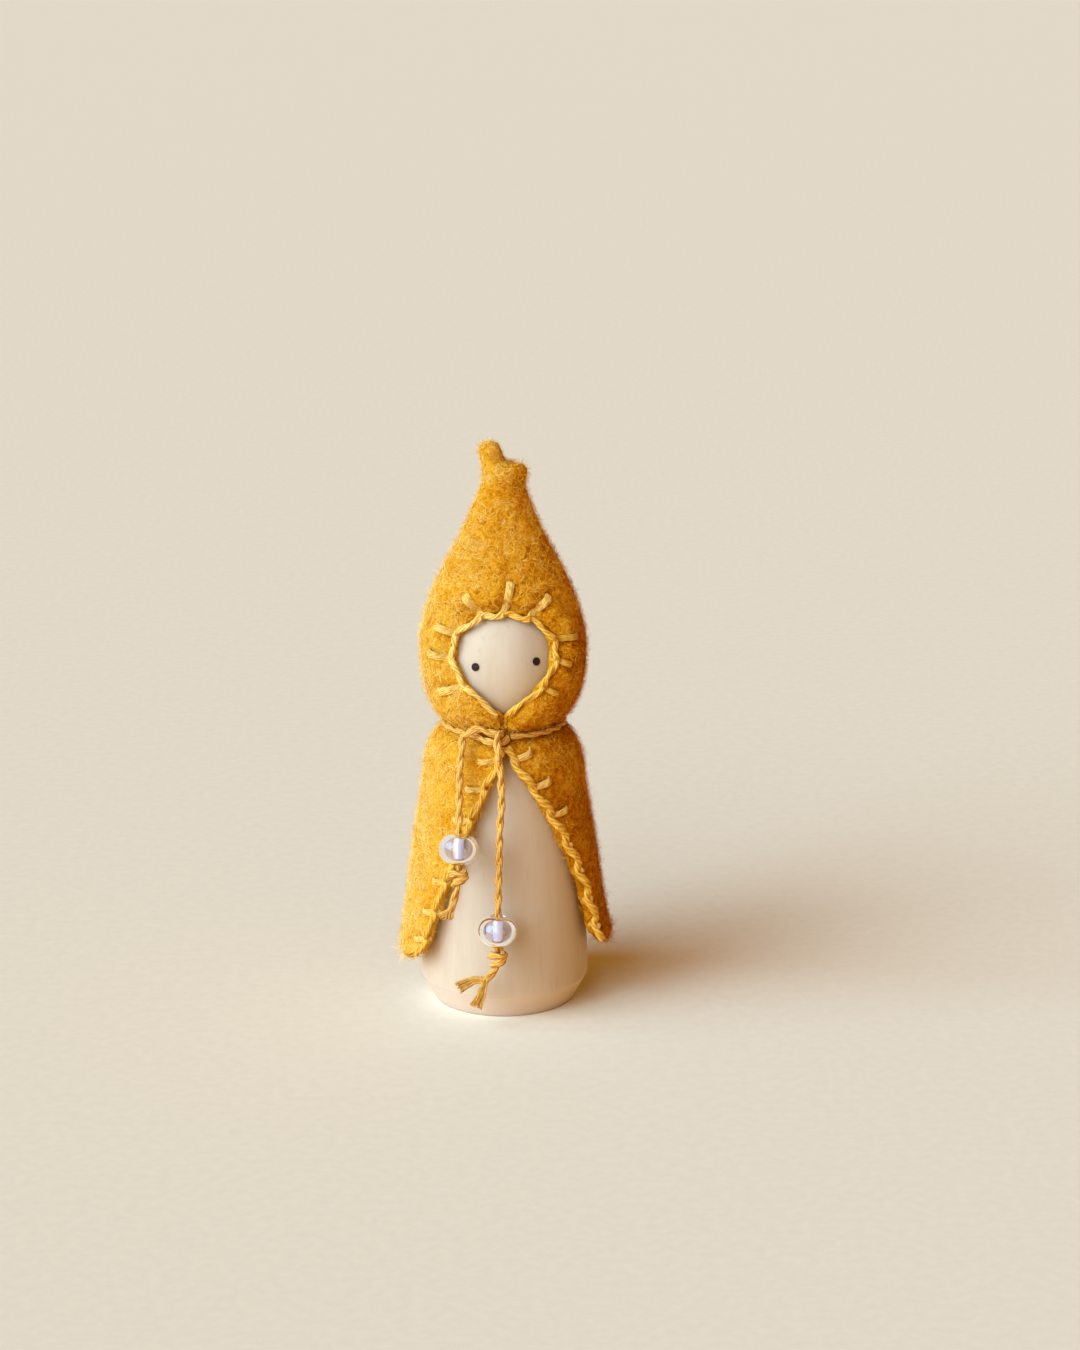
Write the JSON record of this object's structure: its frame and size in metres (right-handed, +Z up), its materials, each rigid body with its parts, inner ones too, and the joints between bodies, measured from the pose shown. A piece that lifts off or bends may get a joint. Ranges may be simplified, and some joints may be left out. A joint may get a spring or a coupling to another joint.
{
  "type": "peg doll",
  "caption": "Turned wooden peg doll with painted eyes, in a felt hooded cape edged with blanket stitch and tied at the neck with a beaded cord.",
  "frame": {"origin": "centre of the flat foot, on the surface that the doll stands on", "axes": "+Z up along the turned axis of the peg, the face looks along -Y, +X to the doll's left-hand side as the viewer's right"},
  "size_m": [0.027, 0.0301, 0.0743],
  "materials": {
    "wood": "pale unfinished turned hardwood, sanded smooth",
    "eye_paint": "dark brown paint, satin",
    "felt": "mustard wool felt, fuzzy and mottled",
    "floss": "pale yellow stranded cotton floss",
    "cord": "golden tan two-ply twisted cotton cord",
    "bead_glass": "clear glass with a thin iridescent coat"
  },
  "bodies": {
    "peg": {"peg_body": "wood", "left_eye": "eye_paint", "right_eye": "eye_paint"},
    "cloak": {"hood": "felt", "cape": "felt", "hood_stitching": "floss", "left_cape_stitching": "floss", "right_cape_stitching": "floss", "neck_cord": "cord", "neck_knot": "cord"},
    "left_tail": {"left_tail_cord": "cord", "left_end_knot": "cord", "left_frayed_end": "cord"},
    "left_bead": {"left_bead": "bead_glass"},
    "right_tail": {"right_tail_cord": "cord", "right_end_knot": "cord", "right_frayed_end": "cord"},
    "right_bead": {"right_bead": "bead_glass"}
  },
  "joints": [
    {"name": "cloak_turn", "type": "hinge", "parent": "peg", "child": "cloak", "pos_m": [0, 0, 0.0375], "axis": [0, 0, 1], "continuous": true},
    {"name": "left_tail_lift", "type": "hinge", "parent": "cloak", "child": "left_tail", "pos_m": [-0.0052, -0.0084, 0.0376], "axis": [-1, 0, 0], "range_deg": [0, 120]},
    {"name": "right_tail_lift", "type": "hinge", "parent": "cloak", "child": "right_tail", "pos_m": [-0.0006, -0.0109, 0.0352], "axis": [-1, 0, 0], "range_deg": [0, 120]},
    {"name": "left_bead_slide", "type": "slide", "parent": "left_tail", "child": "left_bead", "axis": [0.0172, 0.3006, 0.9536], "range_m": [0, 0.003]},
    {"name": "right_bead_slide", "type": "slide", "parent": "right_tail", "child": "right_bead", "axis": [0.0208, 0.118, 0.9928], "range_m": [0, 0.009]}
  ]
}
